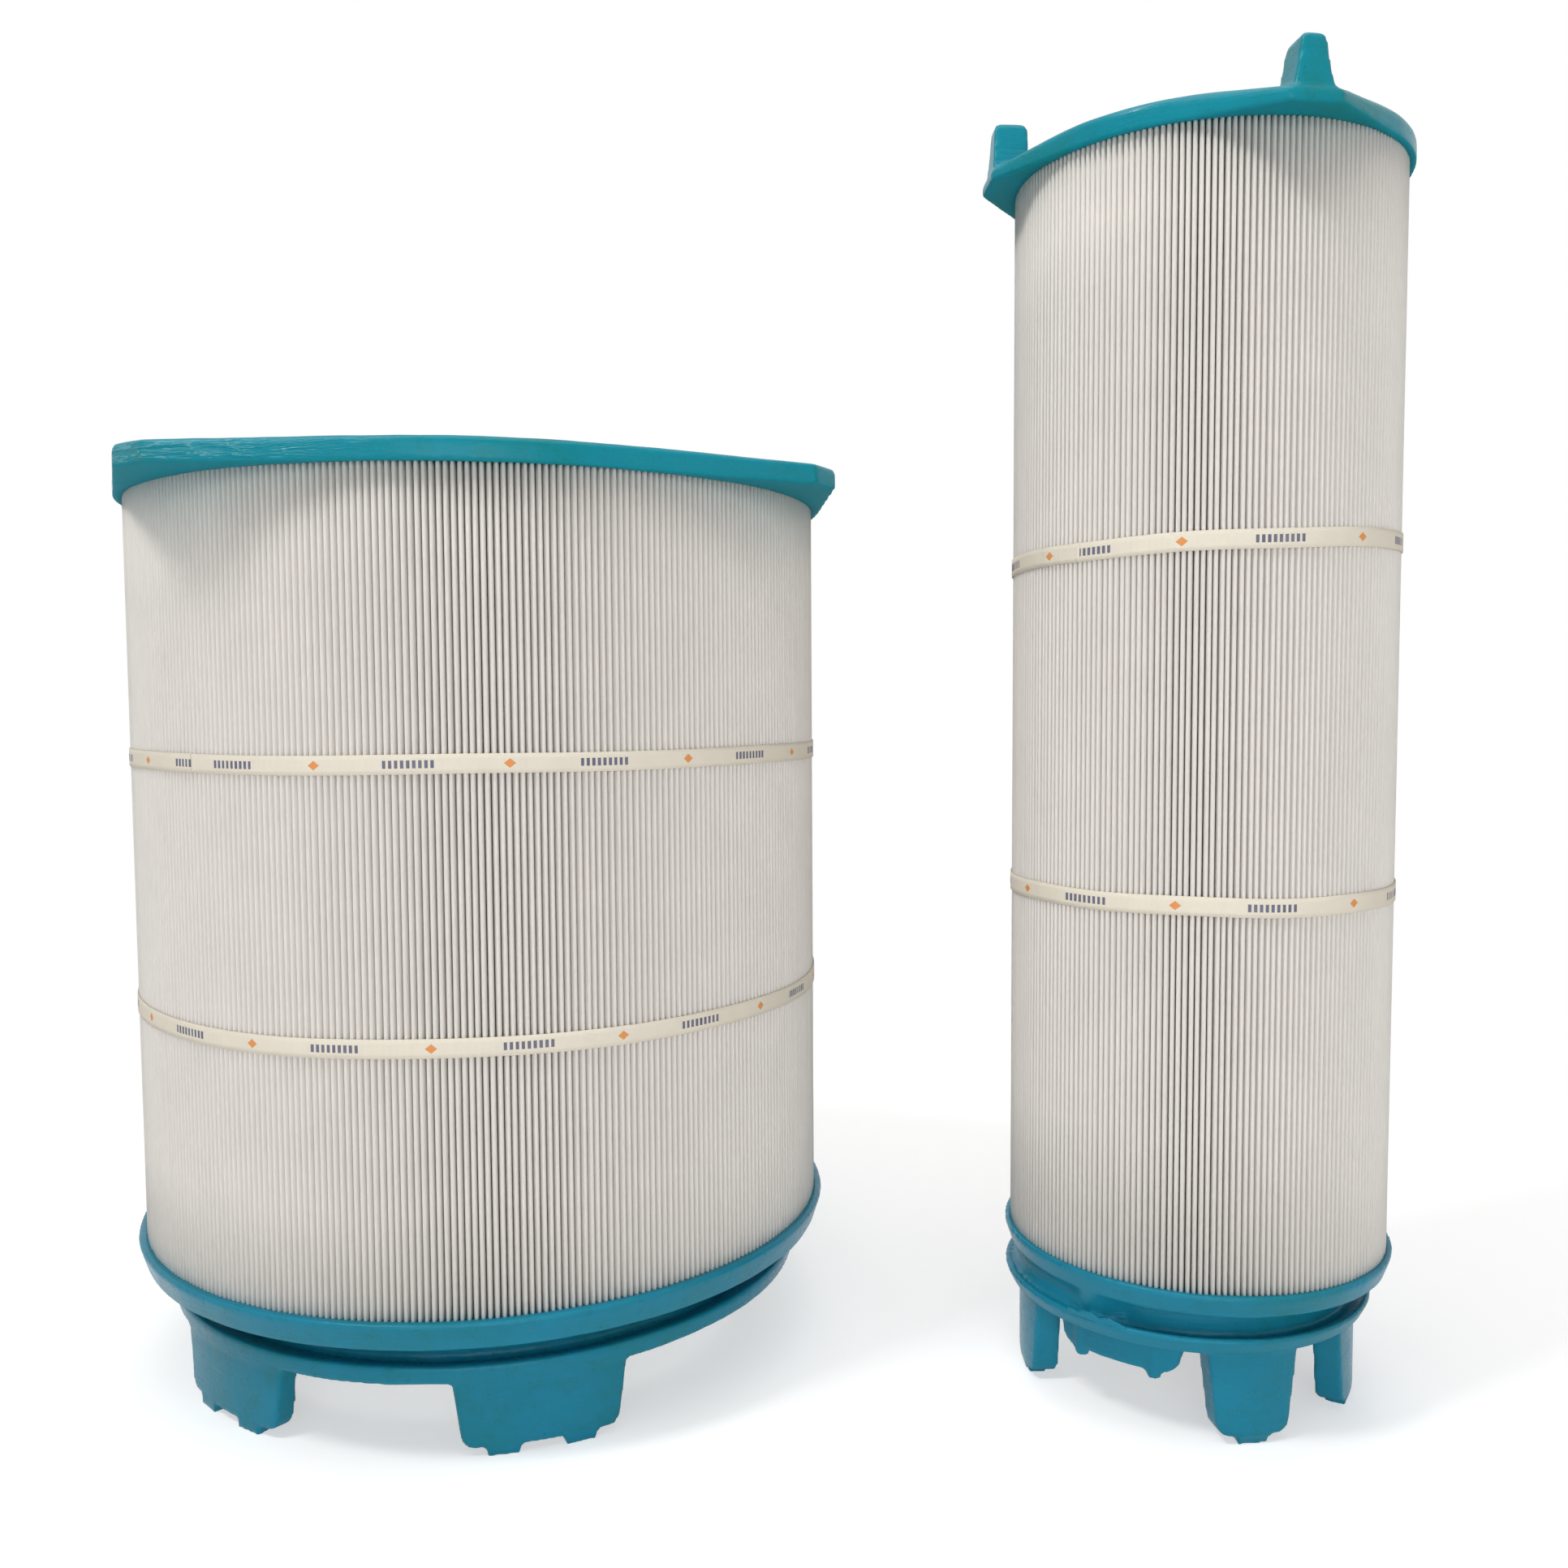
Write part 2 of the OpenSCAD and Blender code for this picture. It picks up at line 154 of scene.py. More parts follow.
class Finish:
    """A material or world while its nodes are being laid."""

    def __init__(self, owner):
        self.owner = owner
        owner.use_nodes = True
        self.tree = owner.node_tree
        self.tree.nodes.clear()

    def add(self, kind, settings=None, inputs=None, output=0):
        """Adds a node: its settings first, then the values or links of its sockets."""
        made = self.tree.nodes.new(kind)
        for key, value in (settings or {}).items():
            if key == "stops":
                ramp = made.color_ramp.elements
                while len(ramp) < len(value):
                    ramp.new(0.5)
                for element, (place, colour) in zip(ramp, value):
                    element.position = place
                    element.color = colour
            else:
                setattr(made, key, value)
        for key, value in (inputs or {}).items():
            if isinstance(value, Value):
                self.tree.links.new(value.socket, made.inputs[key])
            else:
                made.inputs[key].default_value = value
        return Value(self, made.outputs[output]) if made.outputs else None

    def place(self, scale=(1, 1, 1)):
        """Coordinates on the piece, stretched by scale."""
        where = self.add("ShaderNodeTexCoord", output="Object")
        return self.add("ShaderNodeMapping", inputs={"Vector": where, "Scale": scale})

    def part(self, vector, axis):
        """One axis of a vector."""
        return self.add("ShaderNodeSeparateXYZ", inputs={0: vector}, output=axis)

    def noise(self, where, scale=1.0, detail=3.0, roughness=0.5):
        return self.add("ShaderNodeTexNoise", inputs={
            "Vector": where, "Scale": scale, "Detail": detail, "Roughness": roughness,
        })

    def fade(self, value, start, end, first=0.0, last=1.0):
        """Goes smoothly from first to last while value goes from start to end."""
        return self.add("ShaderNodeMapRange", {"interpolation_type": "SMOOTHSTEP"}, {
            "Value": value, "From Min": start, "From Max": end, "To Min": first, "To Max": last,
        })

    def blend(self, share, first, second):
        """Mixes two colours by share."""
        return self.add("ShaderNodeMix", {"data_type": "RGBA", "clamp_factor": True},
                        {MIX_SHARE: share, MIX_FIRST: first, MIX_SECOND: second}, MIX_RESULT)

    def ramp(self, value, stops):
        return self.add("ShaderNodeValToRGB", {"stops": stops}, {0: value})

    def bump(self, height, distance):
        return self.add("ShaderNodeBump", inputs={"Strength": 1.0, "Distance": distance, "Height": height})

    def done(self, inputs):
        """Ends a material in one principled shader."""
        return self.put_out(self.add("ShaderNodeBsdfPrincipled", inputs=inputs), "ShaderNodeOutputMaterial")

    def put_out(self, shader, kind):
        self.add(kind, inputs={"Surface": shader})
        return self.owner


def flat(colour):
    return (colour[0], colour[1], colour[2], 1.0)


def shaded(colour, share):
    return flat([min(1.0, c * share) for c in colour])


WHITE = flat((1, 1, 1))


# Finishes

# Cast resin: stretch of its ripples and creases, size of a pit, and the height of a crease's crest from
# which a painted highlight is laid on it
FLOW_STRETCH = (16, 16, 150)
FOLD_STRETCH = (32, 32, 240)
PIT_SIZE = 0.075
GLINT_FROM = 0.93
# Middle of the creased stretch of the outer flange
CREASES_AT = SET["outer"].axis + Vector((-0.19, -0.20, SET["outer"].head))

# Strap print, in shares of a repeat and of the width: bars, half a run of them and half their height
BARS_IN_REPEAT = 33.0
BAR_SHARE = 0.58
RUN_HALF = 0.136
BAR_HALF = 0.2
# Half a spot's height in millimetres, and its height over its length
SPOT_HALF = 3.1
SPOT_SQUEEZE = 0.8
# Radians that the weave's waves turn through along one repeat and across the width
WARP = 1150.0
WEFT = 110.0


def cast_resin(name, teal, settings):
    """Satin cast polyurethane: cloudy tint, ripples, few pits darkened with painted shade, creases by a lobe
    whose crests get a painted highlight, and rough undersides.
    """
    f = Finish(bpy.data.materials.new(name))
    at = f.place()
    cloud = f.noise(at, scale=9.0, detail=2.0)
    mottle = f.noise(at, scale=75.0, detail=4.0, roughness=0.6)
    flow = f.noise(f.place(FLOW_STRETCH), detail=4.0, roughness=0.55)
    fold = f.noise(f.place(FOLD_STRETCH), detail=4.0, roughness=0.55)
    grain = f.noise(at, scale=900.0, detail=2.0)
    pit = f.add("ShaderNodeTexVoronoi", inputs={"Vector": at, "Scale": 85.0}, output="Distance") < PIT_SIZE
    facing = f.part(f.add("ShaderNodeNewGeometry", output="Normal"), "Z")
    upright = f.fade(abs(facing), start=0.75, end=0.35)
    under = f.fade(facing, start=-0.25, end=-0.9)
    away = f.add("ShaderNodeVectorMath", {"operation": "DISTANCE"}, {0: at, 1: CREASES_AT}, "Value")
    creased = f.fade(away, start=0.10, end=0.24, first=1.0, last=0.12) * upright
    crease = (1.0 - abs(fold * 2.0 - 1.0) * 2.0) * creased
    tint = cloud * 0.55 + mottle * 0.3 + flow * 0.15
    green = (teal[0], teal[1] * 0.94, teal[2] * 0.78)
    colour = f.ramp(tint, [(0.34, shaded(green, 0.92)), (0.5, flat(teal)), (0.70, shaded(teal, 1.10))])
    # Painted shade: the pits are darkened towards half the teal, as shade in their hollows
    colour = f.blend(pit * 0.25, colour, shaded(teal, 0.5))
    # Painted highlight: the crests of the creases are blended towards a paler teal in place of the lamps'
    # glints on them
    colour = f.blend((crease > GLINT_FROM) * creased * 0.4, colour, flat(settings.scuff))
    height = flow * 0.6 + mottle * 0.08 + grain * 0.05 - pit * 0.3 + crease * 2.4
    return f.done({
        "Base Color": colour,
        "Roughness": settings.roughness + (mottle - 0.5) * 0.2 + pit * 0.2 + under * 0.45 - creased * 0.1,
        "Specular IOR Level": 0.18,
        "Normal": f.bump(height, settings.ripple),
    })


def top_teal(settings):
    """The greener resin of the top caps."""
    return cast_resin("top_teal", settings.top_colour, settings)


def foot_teal(settings):
    """The bluer resin of the bottom caps."""
    return cast_resin("foot_teal", settings.foot_colour, settings)


def pleat_fabric(settings):
    """Matte spunbonded polyester: short fibres that run up the pleat and soft cloudy patches."""
    f = Finish(bpy.data.materials.new("pleat_fabric"))
    fibre = f.noise(f.place((1500, 1500, 160)), roughness=0.6)
    cloud = f.noise(f.place(), scale=26.0)
    dark = shaded(settings.fabric, 0.90)
    light = shaded(settings.fabric, 1.07)
    return f.done({
        "Base Color": f.blend(fibre * 0.5 + cloud * 0.5, dark, light),
        "Roughness": 0.86 + fibre * 0.12,
        "Specular IOR Level": 0.25,
        "Normal": f.bump(fibre + cloud * 0.2, 0.12 * MM),
    })


def strap_tape(settings):
    """Cream woven tape, printed with a run of navy bars and one orange spot in each repeat."""
    f = Finish(bpy.data.materials.new("strap_tape"))
    where = f.add("ShaderNodeTexCoord", output="UV")
    along = f.part(where, "X")
    across = f.part(where, "Y")
    repeat = along.fract()
    bars = (along * BARS_IN_REPEAT).fract() < BAR_SHARE
    bars = bars * (abs(repeat - 0.5) < RUN_HALF) * (abs(across - 0.5) < BAR_HALF)
    off_x = (abs(repeat - 0.5) - 0.5) * (settings.repeat / MM)
    off_y = (across - 0.5) * (settings.width / MM)
    spot = (abs(off_x) * SPOT_SQUEEZE + abs(off_y)) < SPOT_HALF
    weave = (along * WARP).sine() * (across * WEFT).sine() * 0.5 + 0.5
    wear = f.noise(f.place(), scale=60.0, detail=4.0, roughness=0.6)
    dark = shaded(settings.cream, 0.93)
    light = shaded(settings.cream, 1.05)
    colour = f.blend(weave * 0.25 + wear * 0.6, dark, light)
    colour = f.blend(bars * (0.72 + wear * 0.25), colour, flat(settings.navy))
    colour = f.blend(spot * 0.92, colour, flat(settings.orange))
    return f.done({
        "Base Color": colour,
        "Roughness": 0.58 + wear * 0.2,
        "Specular IOR Level": 0.35,
        "Normal": f.bump(weave * 0.6 + wear * 0.3, 0.1 * MM),
    })


def core_plastic(settings):
    """Moulded white plastic with a faint flow grain."""
    f = Finish(bpy.data.materials.new("core_plastic"))
    flow = f.noise(f.place((1, 1, 0.2)), scale=40.0)
    grain = f.noise(f.place(), scale=700.0, detail=2.0)
    return f.done({
        "Base Color": f.blend(flow, shaded(settings.core, 0.93), shaded(settings.core, 1.05)),
        "Roughness": 0.40 + flow * 0.15,
        "Normal": f.bump(grain, 0.06 * MM),
    })


def finish_of(maker, settings):
    """The finish made by maker, laid once and shared."""
    return bpy.data.materials.get(maker.__name__) or maker(settings)


# Modelling helpers

# Sides of a round washer
ROUND = 256


def clear():
    """Leaves edit mode and deselects everything."""
    if bpy.context.object and bpy.context.object.mode != "OBJECT":
        bpy.ops.object.mode_set(mode="OBJECT")
    bpy.ops.object.select_all(action="DESELECT")


def pick(piece):
    """Selects one piece alone and makes it active."""
    clear()
    piece.select_set(True)
    bpy.context.view_layer.objects.active = piece


def apply_modifier(piece, kind, **settings):
    """Adds a modifier with its settings and applies it."""
    pick(piece)
    made = piece.modifiers.new(kind.lower(), kind)
    for key, value in settings.items():
        setattr(made, key, value)
    bpy.ops.object.modifier_apply(modifier=made.name)


def outward(piece):
    """Merges doubled points and turns all faces outwards."""
    pick(piece)
    bpy.ops.object.mode_set(mode="EDIT")
    bpy.ops.mesh.select_all(action="SELECT")
    bpy.ops.mesh.remove_doubles(threshold=MERGE)
    bpy.ops.mesh.normals_make_consistent(inside=False)
    bpy.ops.object.mode_set(mode="OBJECT")


def face_away(piece, face, axis):
    """Turns an open sheet round if one of its faces looks towards the axis."""
    out = face.center - axis
    out.z = 0
    if face.normal.dot(out) < 0:
        piece.data.flip_normals()


def hand_over(piece, module, node, finish):
    """Smooth shading, finish, body and the node that the piece stands for."""
    pick(piece)
    bpy.ops.object.shade_smooth()
    piece.data.materials.clear()
    piece.data.materials.append(finish)
    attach(piece, module.body)
    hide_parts(node)


def placed(piece, matrix):
    """Moves a piece's mesh, so that its object stays at the origin."""
    piece.data.transform(matrix)
    piece.data.update()


def washer(axis, inside_r, outside_r, low, high):
    """Square-edged ring about an upright axis."""
    clear()
    bpy.ops.mesh.primitive_circle_add(vertices=ROUND, radius=outside_r, location=(0, 0, 0))
    ring = bpy.context.object
    bpy.ops.object.mode_set(mode="EDIT")
    bpy.ops.mesh.select_all(action="SELECT")
    bpy.ops.transform.translate(value=(0, 0, low))
    bpy.ops.mesh.extrude_region_move()
    share = inside_r / outside_r
    bpy.ops.transform.resize(value=(share, share, 1), center_override=(0, 0, low))
    bpy.ops.mesh.select_all(action="SELECT")
    bpy.ops.mesh.extrude_region_move(TRANSFORM_OT_translate={"value": (0, 0, high - low)})
    bpy.ops.object.mode_set(mode="OBJECT")
    outward(ring)
    placed(ring, Matrix.Translation(axis))
    return ring


def strip_grid(along, across):
    """Flat unit grid, to be wound into place point by point."""
    clear()
    bpy.ops.mesh.primitive_grid_add(x_subdivisions=along, y_subdivisions=across, size=1, location=(0, 0, 0))
    return bpy.context.object


def together(piece, added):
    """Joins another mesh to a piece."""
    clear()
    added.select_set(True)
    piece.select_set(True)
    bpy.context.view_layer.objects.active = piece
    bpy.ops.object.join()


# Pleats

# A pleat is drawn by ten points: five round its tip, one on each flank and three round its valley
FOLDS = 10
TIP_POINTS = 5
TIP_MIDDLE = 2
NEAR_FLANK = 5
FAR_FLANK = 9
VALLEY_MIDDLE = 7
TIP_STEP = math.radians(40)
VALLEY_STEP = math.radians(70)
# How much of a tip's lean its flanks take
FLANK_LEAN = 0.3
# How far a tip may be set back, and how much its rounding may differ
TIP_BACK = 0.3 * MM
TIP_SPREAD = 0.05
# Share of the lean that the potted ends keep
END_LEAN = 0.4
# Wave of a pleat up its height: its share of the unevenness, and its turn in radians
WAVE_SHARE = 0.3
WAVE_TURN = 5


def fold_point(phase, settings, tip_r, valley_r, step, tip_round):
    """Angle from the pleat's middle, radius and share of the lean of one of a pleat's points."""
    if phase < TIP_POINTS:
        turn = TIP_STEP * (phase - TIP_MIDDLE)
        radius = tip_r - tip_round * (1 - math.cos(turn))
        return tip_round * math.sin(turn) / radius, radius, 1.0
    if phase in (NEAR_FLANK, FAR_FLANK):
        radius = tip_r - settings.belly_depth
        belly = step / 2 - settings.belly_gap / 2 / radius
        return (belly if phase == NEAR_FLANK else step - belly), radius, FLANK_LEAN
    turn = VALLEY_STEP * (phase - VALLEY_MIDDLE)
    radius = valley_r + settings.valley_round * (1 - math.cos(turn))
    return step / 2 + settings.valley_round * math.sin(turn) / radius, radius, 0.0


def fold_pack(module, settings, pleats, seed):
    """Pleated sheet: a fine ring drawn up in rows and folded into rounded, slightly uneven pleats."""
    rng = random.Random(seed)
    count = pleats * FOLDS
    rows = settings.rows
    height = module.sheet_high - module.sheet_low
    clear()
    bpy.ops.mesh.primitive_circle_add(vertices=count, radius=module.tip_r, location=(0, 0, 0))
    sheet = bpy.context.object
    sheet.name = sheet.data.name = module.name + "_pleats"
    bpy.ops.object.mode_set(mode="EDIT")
    bpy.ops.mesh.select_all(action="SELECT")
    for _ in range(rows):
        bpy.ops.mesh.extrude_region_move(TRANSFORM_OT_translate={"value": (0, 0, height / rows)})
    bpy.ops.object.mode_set(mode="OBJECT")

    step = FULL_TURN / pleats
    lean = [rng.gauss(0, settings.uneven) for _ in range(pleats)]
    wave = [rng.uniform(0, FULL_TURN) for _ in range(pleats)]
    inset = [rng.uniform(0, TIP_BACK) for _ in range(pleats)]
    width = [rng.uniform(1 - TIP_SPREAD, 1 + TIP_SPREAD) for _ in range(pleats)]
    for vertex in sheet.data.vertices:
        x, y, z = vertex.co
        place = round(math.atan2(y, x) / FULL_TURN * count) % count
        pleat, phase = divmod(place, FOLDS)
        level = z / height
        free = math.sin(math.pi * level) ** 0.5 if 0 < level < 1 else 0.0
        nearest = (pleat + (phase == FAR_FLANK)) % pleats
        sway = lean[nearest] * (END_LEAN + (1 - END_LEAN) * free)
        sway += WAVE_SHARE * settings.uneven * free * math.sin(WAVE_TURN * level + wave[nearest])
        tip_r = module.tip_r - inset[nearest]
        tip_round = settings.tip_round * width[pleat]
        angle, radius, share = fold_point(phase, settings, tip_r, module.valley_r, step, tip_round)
        angle += pleat * step + share * sway / module.tip_r
        vertex.co = (radius * math.cos(angle), radius * math.sin(angle), z)
    sheet.data.update()
    outward(sheet)
    face_away(sheet, max(sheet.data.polygons, key=lambda face: face.center.x), Vector())
    apply_modifier(sheet, "SOLIDIFY", thickness=settings.cloth, offset=-1.0, use_rim=True)
    placed(sheet, Matrix.Translation(module.axis + Vector((0, 0, module.sheet_low))))
    return sheet


# Straps

# Direction of each strap's seam and of the middle of one run of bars, in degrees from the front
STRAPS = {
    ("outer", "upper"): (-38, 1.3), ("outer", "lower"): (152, -1.3),
    ("inner", "upper"): (-58, 5.3), ("inner", "lower"): (205, -6.4),
}
# Steps of a strap over one pleat and across its width
STRAP_ALONG = 3
STRAP_ACROSS = 4
# Share of the lap over which the end climbs, and its height in thicknesses of the tape
LAP_CLIMB = 0.25
LAP_LIFT = 1.15
# Height and counts of the slow waves in a strap
STRAP_SAG = 0.35 * MM
STRAP_WAVES = (3, 7)


def wind_strap(module, which, settings, pleats, seam, print_at, seed):
    """One strip wound once round the pleat tips, its glued end lying over its start."""
    rng = random.Random(seed)
    middle, extent = module.strap(which)
    inside_r = module.tip_r + settings.clear
    lap = settings.lap / inside_r
    turn = FULL_TURN + lap
    strip = strip_grid(pleats * STRAP_ALONG, STRAP_ACROSS)
    strip.name = strip.data.name = f"{module.name}_{which}_strap"
    slope = max(0.0, extent - settings.width) / (2 * (inside_r + settings.thick))
    start = math.radians(seam) - lap / 2
    shift = 0.5 + (start - math.radians(print_at)) * inside_r / settings.repeat
    for uv in strip.data.uv_layers.active.data:
        uv.uv.x = uv.uv.x * turn * inside_r / settings.repeat + shift
    waves = [(times, rng.uniform(0, FULL_TURN)) for times in STRAP_WAVES]
    climb = LAP_CLIMB * lap
    for vertex in strip.data.vertices:
        share, across = vertex.co.x + 0.5, vertex.co.y
        angle = start + share * turn
        over = min(1.0, max(0.0, (share * turn - FULL_TURN + climb) / climb))
        lift = over * over * (3 - 2 * over) * settings.thick * LAP_LIFT
        press = settings.press * (0.5 + 0.5 * math.cos(angle * pleats))
        radius = inside_r + lift + press
        sag = STRAP_SAG * sum(math.sin(times * angle + drift) for times, drift in waves)
        x, y = radius * math.sin(angle), -radius * math.cos(angle)
        z = middle + across * settings.width + sag + slope * x
        vertex.co = (x + module.axis.x, y + module.axis.y, z)
    strip.data.update()
    face_away(strip, strip.data.polygons[len(strip.data.polygons) // 2], module.axis)
    apply_modifier(strip, "SOLIDIFY", thickness=settings.thick, offset=1.0, use_rim=True)
    return strip


# Cast caps

# Resin in a cap's pocket: skin left over it, depth, and reach inside the core's face and past the tips
FILL_SKIN = 1.0 * MM
FILL_DEPTH = 9.0 * MM
FILL_IN = 8.0 * MM
FILL_OUT = 1.0 * MM
# Crisp upper edge of a bottom ring: gap to the tips, step back from the rim, depth and drop
LEDGE_GAP = 0.5 * MM
LEDGE_BACK = 0.4 * MM
LEDGE_DEPTH = 3.0 * MM
LEDGE_DROP = 0.2 * MM
# Size and depth of the waves in the castings' skin
SKIN_SCALE = 0.045
SKIN_DEPTH = 2

# Run of resin in the inner neck, in degrees from the front: start, length, bulge and its spread
RUN_START = -125
RUN_TURN = 95
BULGE_AT = -46
BULGE_SPREAD = 6
# Its steps, the share of it that tapers at each end, and how far it sinks in there
RUN_STEPS = 72
RUN_ROWS = 6
RUN_TAPER = 0.2
RUN_SINK = 16 * MM
# Its hollow, the height of the bulge, its thickness, and how it overlaps seal and ring
RUN_HOLLOW = 3.5 * MM
BULGE_OUT = 4.5 * MM
RUN_THICK = 14 * MM
RUN_SEAL_BACK = 6 * MM
RUN_SEAL_LAP = 1.5 * MM
RUN_RING_LAP = 1.0 * MM

# Torn fin on the inner seal: start and length in degrees from the front, steps and rows
FLASH_START = -52
FLASH_TURN = 20
FLASH_STEPS = 48
FLASH_ROWS = 3
# Tears in it, the least share of its height that they leave, and its ragged edge's lowest share
FLASH_TEARS = 2.6
FLASH_LEFT = 0.25
FLASH_RAGGED = 0.75
# Powers that round the tears and the fin's two ends
TEAR_POWER = 0.7
END_POWER = 0.4
# Its lean, thickness, step back from the seal's edge and root in the seal
FLASH_LEAN = 0.3
FLASH_THICK = 0.8 * MM
FLASH_BACK = 1.0 * MM
FLASH_ROOT = 2.5 * MM


def cap_copy(module, which):
    """A merged copy of a cap's solid, free of its body."""
    clear()
    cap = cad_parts[f"{module.name}_{which}_cap"].copy()
    cap.data = cap.data.copy()
    cap.parent = None
    cap.matrix_world = Matrix.Identity(4)
    for key in list(cap.keys()):
        del cap[key]
    bpy.context.scene.collection.objects.link(cap)
    cap.hide_render = cap.hide_viewport = False
    cap.name = cap.data.name = f"{module.name}_{which}_casting"
    outward(cap)
    return cap


def recast(module, which, settings):
    """A cap cast afresh: its pocket filled with resin, soft edges and a gently uneven skin."""
    faulty = module.name == "inner" and which == "bottom"
    cap = cap_copy(module, which)
    low = module.head + FILL_SKIN if which == "top" else module.foot - FILL_DEPTH
    high = low + FILL_DEPTH - FILL_SKIN
    together(cap, washer(module.axis, module.core_r - FILL_IN, module.tip_r + FILL_OUT, low, high))
    if which == "bottom":
        low, high = module.foot - LEDGE_DEPTH, module.foot - LEDGE_DROP
        together(cap, washer(module.axis, module.tip_r + LEDGE_GAP, module.ring_r - LEDGE_BACK, low, high))
    if faulty:
        together(cap, neck_fill(module, settings))
    apply_modifier(cap, "REMESH", mode="VOXEL", voxel_size=settings.voxel)
    apply_modifier(cap, "SMOOTH", factor=0.5, iterations=3)
    skin = bpy.data.textures.get("casting_skin") or bpy.data.textures.new("casting_skin", "CLOUDS")
    skin.noise_scale = SKIN_SCALE
    skin.noise_depth = SKIN_DEPTH
    apply_modifier(cap, "DISPLACE", texture=skin, texture_coords="GLOBAL",
                   strength=settings.uneven, mid_level=0.5)
    cap.data.calc_loop_triangles()
    apply_modifier(cap, "DECIMATE", ratio=min(1.0, settings.triangles / len(cap.data.loop_triangles)))
    if faulty:
        together(cap, seal_flash(module, settings))
    return cap


def seal_axis(module, settings):
    """Axis of the inner module's seal and legs, which were cast off the pleats' axis."""
    return module.axis - Vector((settings.seal_off, 0, 0))


def neck_fill(module, settings):
    """Resin that ran into the left of the inner neck and bulges over the ring's edge in one place."""
    fill = strip_grid(RUN_STEPS, RUN_ROWS)
    seal = seal_axis(module, settings)
    for vertex in fill.data.vertices:
        share, up = vertex.co.x + 0.5, vertex.co.y + 0.5
        turn = RUN_START + RUN_TURN * share
        sunk = (1 - min(1.0, share / RUN_TAPER, (1 - share) / RUN_TAPER)) ** 2 * RUN_SINK
        bulge = math.exp(-((turn - BULGE_AT) / BULGE_SPREAD) ** 2)
        hollow = 4 * up * (1 - up) * RUN_HOLLOW * (1 - bulge) + sunk
        out = Vector((math.sin(math.radians(turn)), -math.cos(math.radians(turn)), 0))
        low = seal + out * (settings.seal_r - RUN_SEAL_BACK - hollow)
        high = module.axis + out * (settings.neck_r + BULGE_OUT * bulge - hollow)
        low.z = module.foot - settings.lip_depth - RUN_SEAL_LAP
        high.z = module.foot - settings.ring_depth + RUN_RING_LAP
        vertex.co = low.lerp(high, up)
    fill.data.update()
    face_away(fill, fill.data.polygons[len(fill.data.polygons) // 2], module.axis)
    apply_modifier(fill, "SOLIDIFY", thickness=RUN_THICK, offset=-1.0, use_rim=True)
    return fill


def seal_flash(module, settings):
    """Torn fin that the mould's parting line left on the inner seal's edge."""
    rng = random.Random(FLASH_SEED)
    fin = strip_grid(FLASH_STEPS, FLASH_ROWS)
    ragged = [rng.uniform(FLASH_RAGGED, 1.0) for _ in range(FLASH_STEPS + 1)]
    axis = seal_axis(module, settings)
    root = module.foot - settings.lip_depth - FLASH_ROOT
    for vertex in fin.data.vertices:
        share, up = vertex.co.x + 0.5, vertex.co.y + 0.5
        angle = math.radians(FLASH_START + FLASH_TURN * share)
        torn = FLASH_LEFT + (1 - FLASH_LEFT) * abs(math.cos(FLASH_TEARS * math.pi * share)) ** TEAR_POWER
        ends = math.sin(math.pi * share) ** END_POWER
        height = settings.flash * ragged[round(share * FLASH_STEPS)] * torn * ends
        radius = settings.seal_r - FLASH_BACK + up * FLASH_LEAN * height
        level = root + up * (FLASH_ROOT + height)
        vertex.co = (axis.x + radius * math.sin(angle), axis.y - radius * math.cos(angle), level)
    fin.data.update()
    apply_modifier(fin, "SOLIDIFY", thickness=FLASH_THICK, offset=0.0, use_rim=True)
    return fin


# Sizes and colours that a user may change

def colour_prop(name, description, default):
    return bpy.props.FloatVectorProperty(name=name, description=description, default=default,
                                         min=0.0, max=1.0, subtype="COLOR", size=3)


def length_prop(name, description, default, low, high):
    return bpy.props.FloatProperty(name=name, description=description, default=default, min=low, max=high,
                                   precision=5, unit="LENGTH", subtype="DISTANCE")


def angle_prop(name, description, default):
    return bpy.props.FloatProperty(name=name, description=description, default=default,
                                   subtype="ANGLE", unit="ROTATION")


def count_prop(name, description, default, low, high):
    return bpy.props.IntProperty(name=name, description=description, default=default, min=low, max=high)


def share_prop(name, description, default):
    return bpy.props.FloatProperty(name=name, description=description, default=default,
                                   min=0.0, max=1.0, subtype="FACTOR")


class FilterPleatSettings(bpy.types.PropertyGroup):
    """Pleated packs."""
    fabric: colour_prop("Fabric", "Colour of the filter fabric", (0.855, 0.82, 0.775))
    outer_count: count_prop("Outer pleats", "Pleats round the outer pack", 368, 40, 600)
    inner_count: count_prop("Inner pleats", "Pleats round the inner pack", 208, 40, 400)
    rows: count_prop("Rows", "Rows of faces up a pleat", 7, 2, 16)
    cloth: length_prop("Fabric thickness", "Thickness of the fabric", 0.5 * MM, 0.2 * MM, 1.0 * MM)
    tip_round: length_prop("Tip rounding", "Radius of a pleat's tip", 1.25 * MM, 0.6 * MM, 1.8 * MM)
    belly_depth: length_prop("Belly depth", "How far behind the tip a pleat is widest",
                             5.5 * MM, 2 * MM, 12 * MM)
    belly_gap: length_prop("Belly gap", "Gap between neighbouring pleats at their widest",
                           0.5 * MM, 0.2 * MM, 2 * MM)
    valley_round: length_prop("Valley rounding", "Radius of a pleat's inner fold",
                              0.5 * MM, 0.3 * MM, 1.0 * MM)
    uneven: length_prop("Unevenness", "How far pleats lean aside", 0.14 * MM, 0.0, 1.0 * MM)


